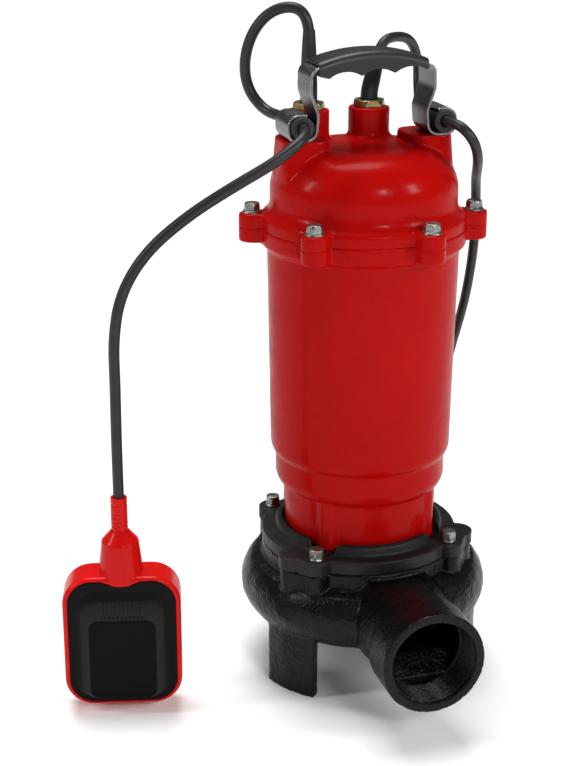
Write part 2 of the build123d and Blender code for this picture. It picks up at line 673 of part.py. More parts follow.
def bracket(side):
    """One bent steel strip: it leaves the grip, drops in a slight S and curls round the cable bush."""
    foot = BOSS_TOP + STRIP_T / 2
    inner = BUSH_X - 8.5
    outer = BUSH_X + 8.5
    points = [
        (31.0, GRIP_TOP - 10.0), (STRIP_X, GRIP_TOP - 10.5), (STRIP_X + 0.5, GRIP_TOP - 26),
        (inner - 3.0, foot + 16.0), (inner - 1.5, foot), (outer, foot), (outer, foot + 16.3),
        (BUSH_X - 4.0, foot + 16.1)]
    corners = [6.0, 14.0, 10.0, 6.5, 5.5, 6.5]
    path = FilletPolyline(*[(HANDLE_X + side * x, HANDLE_Y, z) for x, z in points], radius=corners)
    start = Plane(origin=path @ 0, x_dir=(0, 1, 0), z_dir=path % 0)
    strip = sweep(start * Rectangle(STRIP_W, STRIP_T), path=path)
    sink = Pos(HANDLE_X + side * BUSH_X, HANDLE_Y, BOSS_TOP)
    strip -= sink * Cylinder(2.8, 3, align=UP)
    return strip - sink * Pos(0, 0, 0.4) * Cone(2.4, 5.0, 2.6, align=UP)


def grip():
    """The moulded grip: arched on top, three finger grooves below, pockets for the strips."""
    end = 38.5
    pitch = 22.7
    first = -31.0
    low = GRIP_TOP - 17.0
    crest = [(first + pitch * k, 0, low + 1.0 * k) for k in range(4)]
    edges = [Line((-end, 0, low + 2), crest[0])]
    for a, b in zip(crest, crest[1:]):
        edges.append(ThreePointArc(a, ((a[0] + b[0]) / 2, 0, (a[2] + b[2]) / 2 + 3.6), b))
    edges.append(Line(crest[3], (end, 0, low + 5.5)))
    edges.append(Line((end, 0, low + 5.5), (end, 0, GRIP_TOP - 6.5)))
    edges.append(ThreePointArc((end, 0, GRIP_TOP - 6.5), (0, 0, GRIP_TOP), (-end, 0, GRIP_TOP - 7)))
    edges.append(Line((-end, 0, GRIP_TOP - 7), (-end, 0, low + 2)))
    body = extrude(make_face(edges), GRIP_W / 2, both=True)
    flank = [e for e in body.edges() if abs(abs(e.center().Y) - GRIP_W / 2) < 0.1]
    body = fillet([e for e in flank if e.center().Z > GRIP_TOP - 4], 5.0)
    for side in (-1, 1):
        body -= Pos(side * 39, 0, GRIP_TOP - 10.25) * Box(20, STRIP_W + 0.4, STRIP_T + 1.3)
        body -= Pos(side * 35, 0, GRIP_TOP - 14) * Cylinder(1.9, 12)
    return Pos(HANDLE_X, HANDLE_Y, 0) * body


def bush():
    """A rubber bush that carries the cable through the curl of a bracket."""
    body = Cylinder(BUSH_R, BUSH_LEN) + Pos(0, 0, BUSH_LEN / 2 - 2) * Cylinder(BUSH_R + 1.2, 4)
    body += Pos(0, 0, -BUSH_LEN / 2 + 2) * Cylinder(BUSH_R + 1.2, 4)
    return Rot(90, 0, 0) * (body - Cylinder(FLOAT_D / 2 + 0.25, BUSH_LEN + 2))


def boss_screw():
    """A countersunk screw, flush in the foot of a bracket."""
    screw = Pos(0, 0, 0.5) * Cone(2.4, 4.8, 2.4, align=UP)
    screw += Pos(0, 0, 0.6) * Cylinder(2.4, 18, align=DOWN)
    return screw - Pos(0, 0, 2.9) * extrude(RegularPolygon(1.8, 6), -1.6)


BUSH_PLACES = [(HANDLE_X + side * BUSH_X, HANDLE_Y, BUSH_Z) for side in (-1, 1)]

for side, name in ((-1, "left"), (1, "right")):
    keep(f"handle_bracket_{name}", bracket(side))
keep("cable_bushes", group([Pos(*place) * bush() for place in BUSH_PLACES]))
keep("handle_grip", grip())
keep("handle_screws", group([Pos(x, y, BOSS_TOP) * boss_screw() for x, y, z in BUSH_PLACES]))

# ------------------------------------------------------------------------------------------------
# Cable glands
# ------------------------------------------------------------------------------------------------


def gland_nut():
    """A brass hexagon gland screw: the hexagon stands on the tower, its thread goes down inside."""
    nut = extrude(RegularPolygon(NUT_AF / 2, 6, major_radius=False), 4.8)
    nut = nut & Cone(NUT_AF * 0.6, NUT_AF * 0.52, 4.8, align=UP)
    nut += Cylinder(7.95, 10, align=DOWN)
    return nut - Cylinder(SLEEVE_R + 0.3, 60)


def gland_rubber():
    return ring(7.9, SLEEVE_R + 0.05, -19, -10.5)


GLAND_PLACES = [Pos(x, TOWER_Y, TOWER_TOP) for x in (POWER_X, FLOAT_CABLE_X)]
keep("gland_nuts", group([place * gland_nut() for place in GLAND_PLACES]))
keep("gland_rubbers", group([place * gland_rubber() for place in GLAND_PLACES]))

# ------------------------------------------------------------------------------------------------
# Cables. Each route is a hand-picked list of points; every corner takes the largest arc that its
# two runs allow.
# ------------------------------------------------------------------------------------------------

SLEEVE_FOOT = TOWER_TOP - 22.0
POWER_SLEEVE_TOP = (16.7, 25.3, 434.0)
FLOAT_SLEEVE_TOP = (FLOAT_CABLE_X, TOWER_Y, 449.0)
COIL_CENTRE = (50.7, 143.3)
COIL_MEAN_R = 41.0
COIL_WIDE = 27.8
COIL_HIGH = 28.0

POWER_LOOP = [
    POWER_SLEEVE_TOP, (20.2, 27.8, 445.0), (34.5, 38.0, 447.5), (50.5, 50.0, 443.5), (59.5, 58.0, 428.5),
    (59.0, 56.0, 411.0), (53.5, 38.0, 400.0), (48.0, 20.0, 398.7), (48.0, 5.0, 398.7)]
POWER_DROP = [
    (48.0, -18.0, 398.7), (48.0, -33.0, 399.5), (51.5, -45.0, 398.5), (58.5, -49.5, 389.5),
    (64.5, -43.0, 378.0), (70.0, -30.0, 367.5), (76.5, -13.0, 357.0), (83.5, 2.0, 340.0),
    (88.0, 11.0, 312.0), (89.5, 20.0, 282.0), (89.5, 31.0, 251.0), (89.0, 49.0, 216.0),
    (88.0, 68.0, 172.0), (86.0, 82.0, 125.0), (85.0, 89.5, 82.0), (86.0, 92.5, 46.0),
    (89.0, 98.0, 20.0), (94.0, 110.0, 4.6), (98.6, 124.0, 3.5), (99.4, 135.0, 3.5)]
FLOAT_LOOP = [
    FLOAT_SLEEVE_TOP, (-33.0, 20.5, 462.0), (-40.5, 26.0, 471.5), (-55.0, 34.5, 468.0),
    (-66.0, 41.0, 454.5), (-71.0, 46.5, 434.5), (-68.5, 48.0, 414.5), (-59.0, 39.0, 400.5),
    (-51.0, 22.0, 398.7), (-51.0, 5.0, 398.7)]
FLOAT_DROP = [
    (-51.0, -18.0, 398.7), (-51.0, -33.0, 399.0), (-58.0, -48.0, 396.5), (-77.0, -53.0, 384.5),
    (-105.0, -49.0, 369.0), (-134.0, -42.0, 350.0), (-160.0, -36.0, 327.0), (-176.0, -31.0, 299.0),
    (-181.0, -28.5, 268.0), (-180.6, -27.7, 238.0), (FLOAT_X, FLOAT_Y, PIVOT_Z + FLOAT_D / 2 + 1.8)]
PLUG_PLACE = (49.5, 168.0, COIL_HIGH + 18.6)
POWER_TAIL = [
    (99.0, 161.0, COIL_HIGH + 3.7), (95.0, 177.0, COIL_HIGH + 4.2), (84.0, 190.0, COIL_HIGH + 7.5),
    (69.0, 195.0, COIL_HIGH + 12.0), (56.0, 191.0, COIL_HIGH + 16.5), (49.5, 181.0, COIL_HIGH + 18.6),
    (49.5, 168.2, COIL_HIGH + 18.6)]


def route_radii(points):
    """The largest tangent arc at each corner: 0.45 of the shorter run over tan(half the turn)."""
    radii = []
    for a, b, c in zip(points, points[1:], points[2:]):
        before = Vector(*b) - Vector(*a)
        after = Vector(*c) - Vector(*b)
        turn = radians(before.get_angle(after))
        radii.append(0.45 * min(before.length, after.length) / tan(turn / 2))
    return radii


def cord(name, points, diameter):
    """A cable of round section along straight runs joined by tangent arcs."""
    radii = route_radii(points)
    print(name, "arc radii", [round(r, 1) for r in radii], "points", len(points))
    path = FilletPolyline(*points, radius=radii)
    start = Plane(origin=path @ 0, z_dir=path % 0)
    tube = sweep(start * Circle(diameter / 2), path=path)
    ideal = path.length * pi * diameter ** 2 / 4
    print(name, "length", round(path.length, 1), "volume", round(tube.volume), "ideal", round(ideal))
    return tube


def sleeve(points, radius):
    """The rubber sleeve that stiffens a cable above its gland."""
    path = FilletPolyline(*points, radius=radius) if len(points) > 2 else Line(*points)
    start = Plane(origin=path @ 0, z_dir=path % 0)
    return sweep(start * (Circle(SLEEVE_R) - Circle(POWER_D / 2 - 0.2)), path=path)


def power_coil():
    """The envelope of the wound-up part of the power cable, lying flat."""
    outline = Pos(COIL_MEAN_R, 0, COIL_HIGH / 2) * Rot(90, 0, 0) * RectangleRounded(COIL_WIDE, COIL_HIGH, 3)
    return Pos(*COIL_CENTRE, 0) * revolve(outline, Axis.Z, 360)


def plug_turned(points):
    """A shape turned about the plug's own axis, which runs from the cable entry along -Y."""
    face = make_face(Polyline(*[(r, 0, z) for r, z in points], close=True))
    return Pos(*PLUG_PLACE) * Rot(90, 0, 0) * revolve(face, Axis.Z, 360)


def plug_body():
    """A round two-pin earthed plug with a recessed face and a tapered cable entry."""
    body = plug_turned([
        (0, 0), (4.6, 0), (7.4, 22), (11, 27), (16.2, 33), (16.8, 50), (18.4, 52), (18.4, 58), (0, 58)])
    for side in (-1, 1):
        grip_cut = Pos(*PLUG_PLACE) * Pos(side * 20.5, -41, 0) * Box(9, 13, 22)
        body -= grip_cut
        pin_hole = Pos(*PLUG_PLACE) * Pos(side * 9.5, -58, 0) * Rot(90, 0, 0) * Cylinder(2.45, 20)
        body -= pin_hole
    return body


def plug_pins():
    pins = []
    for side in (-1, 1):
        pin = Cylinder(2.4, 29, align=UP)
        pin = fillet(pin.faces().sort_by(Axis.Z)[-1].edges(), 1.6)
        pins.append(Pos(*PLUG_PLACE) * Pos(side * 9.5, -48, 0) * Rot(90, 0, 0) * pin)
    return group(pins)


coil = power_coil()
POWER_SLEEVE = [(POWER_X, TOWER_Y, SLEEVE_FOOT), (POWER_X, TOWER_Y, 413.0), POWER_SLEEVE_TOP]
keep("power_sleeve", sleeve(POWER_SLEEVE, 36.0))
keep("float_sleeve", sleeve([(FLOAT_CABLE_X, TOWER_Y, SLEEVE_FOOT), FLOAT_SLEEVE_TOP], 0))
keep("power_cord_loop", cord("power_cord_loop", POWER_LOOP, POWER_D))
keep("power_cord_drop", cord("power_cord_drop", POWER_DROP, POWER_D) - coil)
keep("power_cord_coil", coil)
keep("power_cord_tail", cord("power_cord_tail", POWER_TAIL, POWER_D))
keep("power_plug_body", plug_body())
keep("power_plug_pins", plug_pins())
keep("float_cord_loop", cord("float_cord_loop", FLOAT_LOOP, FLOAT_D))
keep("float_cord_drop", cord("float_cord_drop", FLOAT_DROP, FLOAT_D))

# ------------------------------------------------------------------------------------------------
# Float switch. It is drawn hanging straight down on x = y = 0, then turned and moved into place.
# ------------------------------------------------------------------------------------------------

FLOAT_MID = FLOAT_LOW + FLOAT_H / 2
FLOAT_TOP = FLOAT_LOW + FLOAT_H


def upright(width, height, corner, y, z=FLOAT_MID):
    """A rounded rectangle standing upright in the plane at y."""
    plane = Plane(origin=(0, y, z), x_dir=(1, 0, 0), z_dir=(0, -1, 0))
    return plane * RectangleRounded(width, height, corner)


def face_notch(grow):
    """The round bite that the collar's socket takes out of the top of both face plates."""
    return Pos(0, 0, NOTCH_LOW + NOTCH_R) * Rot(90, 0, 0) * Cylinder(NOTCH_R + grow, 60)


def recess(side, width, height, corner, depth):
    """The flat pocket in one side of the rim, or the slab that fills it."""
    outside = side * (FLOAT_T - FACE_T) / 2
    return extrude(upright(width, height, corner, outside + depth / 2), depth)


def float_frame():
    """The red rim of the float, open front and back, with the socket for the cable collar."""
    rim = extrude(upright(FLOAT_W, FLOAT_H, 20, FLOAT_T / 2), FLOAT_T)
    rim = fillet([e for e in rim.edges() if abs(abs(e.center().Y) - FLOAT_T / 2) < 0.1], 3.0)
    rim += Pos(0, 0, NOTCH_LOW) * Cone(15.9, 12.7, FLOAT_SHOULDER - NOTCH_LOW, align=UP)
    rim -= extrude(upright(FACE_W - 6, FACE_H - 6, 14, FLOAT_T), 2 * FLOAT_T)
    for side in (-1, 1):
        rim -= recess(side, FACE_W + 0.4, FACE_H + 0.4, 17, FACE_T) - face_notch(0.0)
    rim -= Pos(0, 0, FLOAT_SHOULDER - 8) * Cylinder(8.6, 10, align=UP)
    return rim - Pos(0, 0, FLOAT_LOW + 90) * Cylinder(4.0, 40)


def float_face(side):
    """One black face plate: a slab let into the rim, with a bevelled raised panel."""
    outside = side * FLOAT_T / 2
    slab = recess(side, FACE_W, FACE_H, 16.8, FACE_T - 0.1)
    low = upright(66, 84, 14, outside - side * 0.6, FLOAT_MID - 1)
    high = upright(44, 57.2, 6, outside + side * 4.5, FLOAT_MID - 12.3)
    plate = slab + loft([low, high])
    slope = degrees(atan2(5.1, 24.7))
    for k in range(RIBS):
        place = Pos((k - (RIBS - 1) / 2) * 2.8, outside + side * 2.6, FLOAT_MID + 25.8)
        plate += place * Rot(side * slope, 0, 0) * Box(1.0, 1.2, 12.5)
    return plate - face_notch(0.3)


def float_collar():
    """The screwed cable collar with its ribbed strain relief."""
    relief = FLOAT_SHOULDER + 7.4
    collar = Pos(0, 0, FLOAT_SHOULDER) * Cone(12.7, 6.2, relief - FLOAT_SHOULDER, align=UP)
    collar += Pos(0, 0, FLOAT_SHOULDER - 7) * Cylinder(8.4, 8, align=UP)
    collar += Pos(0, 0, relief - 1) * Cylinder(5.2, FLOAT_NECK_TOP - relief + 1, align=UP)
    for k in range(6):
        collar += Pos(0, 0, relief + 1.2 + 3.1 * k) * Cylinder(5.75, 2.1, align=UP)
    collar += Pos(0, 0, FLOAT_NECK_TOP - 4) * Cylinder(5.65, 4, align=UP)
    return collar - Pos(0, 0, FLOAT_SHOULDER) * Cylinder(FLOAT_D / 2 + 0.1, 100)


def ball_track():
    """The tube inside the float in which the switching ball rolls."""
    tube = Pos(-14, 0, FLOAT_LOW + 14) * (
        Cylinder(BALL_R + 2.2, 2 * BALL_R + BALL_TRAVEL + 8, align=UP))
    return tube - Pos(-14, 0, FLOAT_LOW + 17) * Cylinder(
        BALL_R + 0.3, 2 * BALL_R + BALL_TRAVEL + 2, align=UP)


def micro_switch():
    body = Pos(-14, 0, FLOAT_LOW + 69) * Box(20, 7, 12, align=UP)
    for k in range(3):
        body += Pos(-21 + 7 * k, 0, FLOAT_LOW + 81) * Box(0.8, 3, 5, align=UP)
    return body


def float_weight():
    weight = Pos(17, 0, FLOAT_LOW + 12) * Box(18, 18, 30, align=UP)
    return fillet(weight.edges().filter_by(Axis.Z), 3.0)


def cord_tail():
    """The last of the float cable, from its bending point down into the strain relief."""
    tail = Pos(0, 0, 140) * Cylinder(FLOAT_D / 2, PIVOT_Z - 140, align=UP)
    return tail + Pos(0, 0, PIVOT_Z) * Sphere(FLOAT_D / 2)


HANG = Pos(FLOAT_X, FLOAT_Y, 0) * Rot(0, 0, FLOAT_TURN)
keep("float_frame", HANG * float_frame())
keep("float_face_front", HANG * float_face(-1))
keep("float_face_back", HANG * float_face(1))
keep("float_collar", HANG * float_collar())
keep("float_ball_track", HANG * ball_track())
keep("float_ball", HANG * Pos(-14, 0, FLOAT_LOW + 17.3 + BALL_R) * Sphere(BALL_R))
keep("float_switch", HANG * micro_switch())
keep("float_weight", HANG * float_weight())
keep("float_cord_tail", HANG * cord_tail())
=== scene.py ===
"""Looks of a submersible sewage pump with a float switch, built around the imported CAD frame.

Metres, +Z up, the origin on the motor axis at the level of the feet. The port looks along -Y.
"""

import json
import math

import bmesh
import bpy
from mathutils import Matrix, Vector

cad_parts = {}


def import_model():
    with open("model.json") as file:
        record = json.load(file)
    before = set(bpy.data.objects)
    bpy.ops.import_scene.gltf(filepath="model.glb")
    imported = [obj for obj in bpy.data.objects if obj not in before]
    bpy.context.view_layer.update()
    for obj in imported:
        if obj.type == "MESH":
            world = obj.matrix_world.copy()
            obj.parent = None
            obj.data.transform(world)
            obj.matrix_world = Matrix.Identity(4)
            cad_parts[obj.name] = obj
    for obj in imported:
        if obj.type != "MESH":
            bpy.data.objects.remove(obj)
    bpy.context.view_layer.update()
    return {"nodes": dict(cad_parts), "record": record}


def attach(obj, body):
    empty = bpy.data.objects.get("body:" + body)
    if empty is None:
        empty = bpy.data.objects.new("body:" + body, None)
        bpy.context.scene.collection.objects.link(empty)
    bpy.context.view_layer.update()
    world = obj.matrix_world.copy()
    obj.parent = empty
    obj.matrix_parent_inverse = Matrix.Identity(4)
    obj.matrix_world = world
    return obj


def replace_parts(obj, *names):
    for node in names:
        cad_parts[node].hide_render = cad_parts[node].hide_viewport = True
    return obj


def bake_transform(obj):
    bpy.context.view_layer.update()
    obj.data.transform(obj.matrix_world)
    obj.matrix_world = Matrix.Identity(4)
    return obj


MM = 0.001
PUMP, FLOAT = "pump", "float"

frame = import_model()
nodes = frame["nodes"]
scene = bpy.context.scene

# ---- places and sizes in millimetres, most of them the CAD model's own --------------------------
PORT_X, PORT_Z, PORT_FACE = 5.0, 61.5, -142.0
THREAD_R = 29.8
THREAD_LONG = 22.5
THREAD_PITCH = 2.309            # eleven turns to the inch
THREAD_DEEP = 1.35
THREAD_START = 0.9              # how far inside the port's face the thread begins
THREAD_WALL = 0.5               # how far the ring reaches into the wall of the port
FLANGE_JOINT = 326.5
JOINT_SINK = 0.35               # how far each flange face is let into its neighbour
FLOAT_X, FLOAT_Y, PIVOT_Z = -181.0, -27.5, 205.0
FLOAT_TURN = -13.3              # degrees about the float's own upright axis
# how far the float's bevels and its raised panels are from its middle plane
PANEL_BACK, PANEL_FRONT = 15.0, 18.2
POWER_D = 6.8
FLOAT_D = 7.4
POWER_X, FLOAT_CABLE_X, TOWER_Y = 10.0, -33.0, 20.5
COIL_CENTRE = (50.7, 143.3)
COIL_MEAN_R = 41.0
COIL_PITCH = 6.92
COIL_LAYERS, COIL_WIDE = 4, 4
COIL_BOTTOM = 3.5               # height of the lowest turns' middle

POWER_SLEEVE_TOP = (16.7, 25.3, 434.0)
FLOAT_SLEEVE_TOP = (FLOAT_CABLE_X, TOWER_Y, 449.0)
POWER_LOOP = [
    POWER_SLEEVE_TOP, (20.2, 27.8, 445.0), (34.5, 38.0, 447.5), (50.5, 50.0, 443.5),
    (59.5, 58.0, 428.5), (59.0, 56.0, 411.0), (53.5, 38.0, 400.0), (48.0, 20.0, 398.7),
    (48.0, 5.0, 398.7)]
POWER_DROP = [
    (48.0, -18.0, 398.7), (48.0, -33.0, 399.5), (51.5, -45.0, 398.5), (58.5, -49.5, 389.5),
    (64.5, -43.0, 378.0), (70.0, -30.0, 367.5), (76.5, -13.0, 357.0), (83.5, 2.0, 340.0),
    (88.0, 11.0, 312.0), (89.5, 20.0, 282.0), (89.5, 31.0, 251.0), (89.0, 49.0, 216.0),
    (88.0, 68.0, 172.0), (86.0, 82.0, 125.0), (85.0, 89.5, 82.0), (86.0, 92.5, 46.0),
    (89.0, 98.0, 20.0), (94.0, 110.0, 4.6), (98.6, 124.0, 3.5), (99.4, 135.0, 3.5)]
POWER_TAIL = [
    (99.0, 161.0, 31.7), (95.0, 177.0, 32.2), (84.0, 190.0, 35.5), (69.0, 195.0, 40.0),
    (56.0, 191.0, 44.5), (49.5, 181.0, 46.6), (49.5, 168.2, 46.6)]
FLOAT_LOOP = [
    FLOAT_SLEEVE_TOP, (-33.0, 20.5, 462.0), (-40.5, 26.0, 471.5), (-55.0, 34.5, 468.0),
    (-66.0, 41.0, 454.5), (-71.0, 46.5, 434.5), (-68.5, 48.0, 414.5), (-59.0, 39.0, 400.5),
    (-51.0, 22.0, 398.7), (-51.0, 5.0, 398.7)]
FLOAT_DROP = [
    (-51.0, -18.0, 398.7), (-51.0, -33.0, 399.0), (-58.0, -48.0, 396.5), (-77.0, -53.0, 384.5),
    (-105.0, -49.0, 369.0), (-134.0, -42.0, 350.0), (-160.0, -36.0, 327.0), (-176.0, -31.0, 299.0),
    (-181.0, -28.5, 268.0), (-180.6, -27.7, 238.0), (FLOAT_X, FLOAT_Y, PIVOT_Z)]
FLOAT_TAIL = [(FLOAT_X, FLOAT_Y, 180.0), (FLOAT_X, FLOAT_Y, 143.0)]

# ------------------------------------------------------------------------------------------------
# Materials
# ------------------------------------------------------------------------------------------------


class Shader:
    """A Principled material with a few procedural helpers."""

    def __init__(self, name, colour, roughness, metallic=0.0, coat=0.0, coat_roughness=0.1,
                 specular=0.5):
        self.material = bpy.data.materials.new(name)
        self.material.use_nodes = True
        self.tree = self.material.node_tree
        self.bsdf = self.tree.nodes["Principled BSDF"]
        self.set("Base Color", (*colour, 1.0))
        self.set("Roughness", roughness)
        self.set("Metallic", metallic)
        self.set("Coat Weight", coat)
        self.set("Coat Roughness", coat_roughness)
        self.set("Specular IOR Level", specular)
        self.coordinates = self.tree.nodes.new("ShaderNodeTexCoord").outputs["Object"]
        self.normal = None

    def set(self, socket, value):
        self.bsdf.inputs[socket].default_value = value

    def link(self, source, target):
        self.tree.links.new(source, target)

    def stretched(self, stretch):
        mapping = self.tree.nodes.new("ShaderNodeMapping")
        mapping.inputs["Scale"].default_value = stretch
        self.link(self.coordinates, mapping.inputs["Vector"])
        return mapping.outputs["Vector"]

    def noise(self, scale, detail=3.0, stretch=None, rough=0.55):
        node = self.tree.nodes.new("ShaderNodeTexNoise")
        node.inputs["Scale"].default_value = scale
        node.inputs["Detail"].default_value = detail
        node.inputs["Roughness"].default_value = rough
        self.link(self.stretched(stretch) if stretch else self.coordinates, node.inputs["Vector"])
        return node.outputs["Fac"]

    def cells(self, scale):
        node = self.tree.nodes.new("ShaderNodeTexVoronoi")
        node.inputs["Scale"].default_value = scale
        node.inputs["Randomness"].default_value = 1.0
        self.link(self.coordinates, node.inputs["Vector"])
        return node.outputs["Distance"]

    def bands(self, scale, direction, distortion=0.0):
        node = self.tree.nodes.new("ShaderNodeTexWave")
        node.bands_direction = direction
        node.inputs["Scale"].default_value = scale
        node.inputs["Distortion"].default_value = distortion
        self.link(self.coordinates, node.inputs["Vector"])
        return node.outputs["Fac"]

    def pointiness(self):
        return self.tree.nodes.new("ShaderNodeNewGeometry").outputs["Pointiness"]

    def ramp(self, source, stops):
        node = self.tree.nodes.new("ShaderNodeValToRGB")
        elements = node.color_ramp.elements
        while len(elements) < len(stops):
            elements.new(0.5)
        for element, (place, colour) in zip(elements, stops):
            element.position = place
            element.color = (*colour, 1.0)
        self.link(source, node.inputs["Fac"])
        return node.outputs["Color"]

    def colours(self, source, stops):
        self.link(self.ramp(source, stops), self.bsdf.inputs["Base Color"])

    def edge_tint(self, source, stops, edge_colour, low, high):
        """Base colour from source, turning to edge_colour where the surface is convex."""
        mix = self.tree.nodes.new("ShaderNodeMix")
        mix.data_type = "RGBA"
        span = self.tree.nodes.new("ShaderNodeMapRange")
        span.inputs["From Min"].default_value = low
        span.inputs["From Max"].default_value = high
        self.link(self.pointiness(), span.inputs["Value"])
        self.link(span.outputs["Result"], mix.inputs[0])
        self.link(self.ramp(source, stops), mix.inputs[6])
        mix.inputs[7].default_value = (*edge_colour, 1.0)
        self.link(mix.outputs[2], self.bsdf.inputs["Base Color"])

    def roughness_from(self, source, low, high):
        node = self.tree.nodes.new("ShaderNodeMapRange")
        node.inputs["From Min"].default_value = 0.3
        node.inputs["From Max"].default_value = 0.7
        node.inputs["To Min"].default_value = low
        node.inputs["To Max"].default_value = high
        self.link(source, node.inputs["Value"])
        self.link(node.outputs["Result"], self.bsdf.inputs["Roughness"])

    def bump(self, source, depth, strength=1.0):
        """One more layer of relief, depth metres from black to white."""
        node = self.tree.nodes.new("ShaderNodeBump")
        node.inputs["Strength"].default_value = strength
        node.inputs["Distance"].default_value = depth
        self.link(source, node.inputs["Height"])
        if self.normal:
            self.link(self.normal, node.inputs["Normal"])
        self.normal = node.outputs["Normal"]
        self.link(self.normal, self.bsdf.inputs["Normal"])


def red_enamel():
    s = Shader("red_enamel", (0.38, 0.003, 0.002), 0.3, coat=0.05, coat_roughness=0.12,
               specular=0.03)
    s.edge_tint(s.noise(14, 4), [(0.3, (0.33, 0.002, 0.0015)), (0.7, (0.38, 0.0025, 0.002))],
                (0.46, 0.008, 0.006), 0.53, 0.62)
    s.roughness_from(s.noise(45, 4), 0.2, 0.36)
    s.bump(s.noise(60, 3), 0.6 * MM, 0.5)
    s.bump(s.noise(330, 3), 0.16 * MM, 0.6)
    return s.material


def black_casting():
    s = Shader("black_casting", (0.006, 0.006, 0.006), 0.34, coat=0.05, coat_roughness=0.2,
               specular=0.14)
    s.edge_tint(s.noise(30, 4), [(0.35, (0.001, 0.001, 0.001)), (0.7, (0.004, 0.004, 0.004))],
                (0.022, 0.022, 0.021), 0.53, 0.66)
    s.roughness_from(s.noise(90, 5), 0.24, 0.42)
    s.bump(s.noise(120, 5, rough=0.65), 1.1 * MM, 0.55)
    s.bump(s.cells(420), 0.5 * MM, 0.6)
    s.bump(s.noise(700, 2), 0.35 * MM, 0.7)
    return s.material


def black_casting_matte():
    s = Shader("black_casting_matte", (0.012, 0.012, 0.012), 0.5, specular=0.18)
    s.edge_tint(s.noise(25, 4), [(0.35, (0.008, 0.008, 0.008)), (0.7, (0.017, 0.0165, 0.016))],
                (0.045, 0.045, 0.042), 0.53, 0.66)
    s.roughness_from(s.noise(70, 5), 0.36, 0.55)
    s.bump(s.noise(150, 5, rough=0.65), 0.9 * MM, 0.5)
    s.bump(s.noise(800, 2), 0.2 * MM, 0.6)
    return s.material


def bare_casting():
    s = Shader("bare_casting", (0.12, 0.115, 0.11), 0.6, metallic=0.7)
    s.colours(s.noise(80, 5), [(0.3, (0.07, 0.068, 0.065)), (0.7, (0.16, 0.155, 0.15))])
    s.bump(s.noise(500, 4), 0.4 * MM, 0.7)
    return s.material


def plated_steel():
    s = Shader("plated_steel", (0.5, 0.49, 0.46), 0.34, metallic=1.0)
    s.colours(s.noise(180, 4), [(0.3, (0.17, 0.175, 0.165)), (0.7, (0.33, 0.335, 0.31))])
    s.roughness_from(s.noise(260, 3), 0.26, 0.48)
    s.bump(s.noise(900, 2), 0.06 * MM, 0.5)
    return s.material


def strip_steel():
    s = Shader("strip_steel", (0.2, 0.2, 0.205), 0.36, metallic=1.0)
    brushed = s.noise(60, 4, stretch=(14.0, 1.0, 14.0))
    # painted highlight: the strip's convex edges turn a bright steel colour, standing in for the line
    # of light that they catch
    s.edge_tint(brushed, [(0.3, (0.12, 0.12, 0.125)), (0.7, (0.24, 0.24, 0.245))],
                (0.72, 0.72, 0.71), 0.53, 0.58)
    s.roughness_from(brushed, 0.28, 0.46)
    s.bump(brushed, 0.05 * MM, 0.5)
    return s.material


def metal(name, dark, light, low, high, scale=160):
    s = Shader(name, dark, low, metallic=1.0)
    s.colours(s.noise(scale, 4), [(0.3, dark), (0.7, light)])
    s.roughness_from(s.noise(scale * 1.6, 3), low, high)
    s.bump(s.noise(scale * 4, 2), 0.05 * MM, 0.5)
    return s.material


def laminated_steel():
    s = Shader("laminated_steel", (0.2, 0.2, 0.21), 0.45, metallic=1.0)
    layers = s.bands(320, "Z")
    s.colours(layers, [(0.1, (0.06, 0.06, 0.065)), (0.6, (0.26, 0.26, 0.27))])
    s.bump(layers, 0.15 * MM, 0.7)
    return s.material


def wound_copper():
    s = Shader("wound_copper", (0.48, 0.16, 0.06), 0.32, metallic=0.8, coat=0.4)
    strands = s.bands(180, "DIAGONAL", 2.0)
    s.colours(strands, [(0.1, (0.2, 0.05, 0.02)), (0.7, (0.62, 0.24, 0.09))])
    s.bump(strands, 0.3 * MM, 0.8)
    return s.material


def moulded(name, dark, light, low, high, depth=0.08, scale=420, coat=0.0, specular=0.35):
    """Moulded plastic or rubber with a fine grain."""
    s = Shader(name, dark, low, coat=coat, specular=specular)
    s.colours(s.noise(35, 3), [(0.3, dark), (0.7, light)])
    s.roughness_from(s.noise(110, 4), low, high)
    s.bump(s.noise(scale, 3), depth * MM, 0.6)
    return s.material


def float_black():
    """Moulded black face plates. The bevels are given a lighter black than the panel, a painted sheen
    for the light that they catch.
    """
    s = Shader("float_black", (0.01, 0.01, 0.01), 0.26, specular=0.07)
    turn = math.radians(FLOAT_TURN)
    offset = s.tree.nodes.new("ShaderNodeVectorMath")
    offset.operation = "SUBTRACT"
    offset.inputs[1].default_value = (FLOAT_X * MM, FLOAT_Y * MM, 0.0)
    s.link(s.coordinates, offset.inputs[0])
    across = s.tree.nodes.new("ShaderNodeVectorMath")
    across.operation = "DOT_PRODUCT"
    across.inputs[1].default_value = (-math.sin(turn), math.cos(turn), 0.0)
    s.link(offset.outputs["Vector"], across.inputs[0])
    depth = s.tree.nodes.new("ShaderNodeMath")
    depth.operation = "ABSOLUTE"
    s.link(across.outputs["Value"], depth.inputs[0])
    height = s.tree.nodes.new("ShaderNodeMapRange")
    height.inputs["From Min"].default_value = PANEL_BACK * MM
    height.inputs["From Max"].default_value = PANEL_FRONT * MM
    s.link(depth.outputs["Value"], height.inputs["Value"])
    # painted sheen: between PANEL_BACK and PANEL_FRONT the bevels are painted a lighter black than the
    # deep black panel in front of them
    s.colours(height.outputs["Result"],
              [(0.0, (0.003, 0.003, 0.003)), (0.25, (0.012, 0.012, 0.011)),
               (0.9, (0.017, 0.017, 0.016)), (1.0, (0.001, 0.001, 0.001))])
    s.roughness_from(s.noise(110, 4), 0.2, 0.3)
    s.bump(s.noise(240, 3), 0.05 * MM, 0.6)
    return s.material


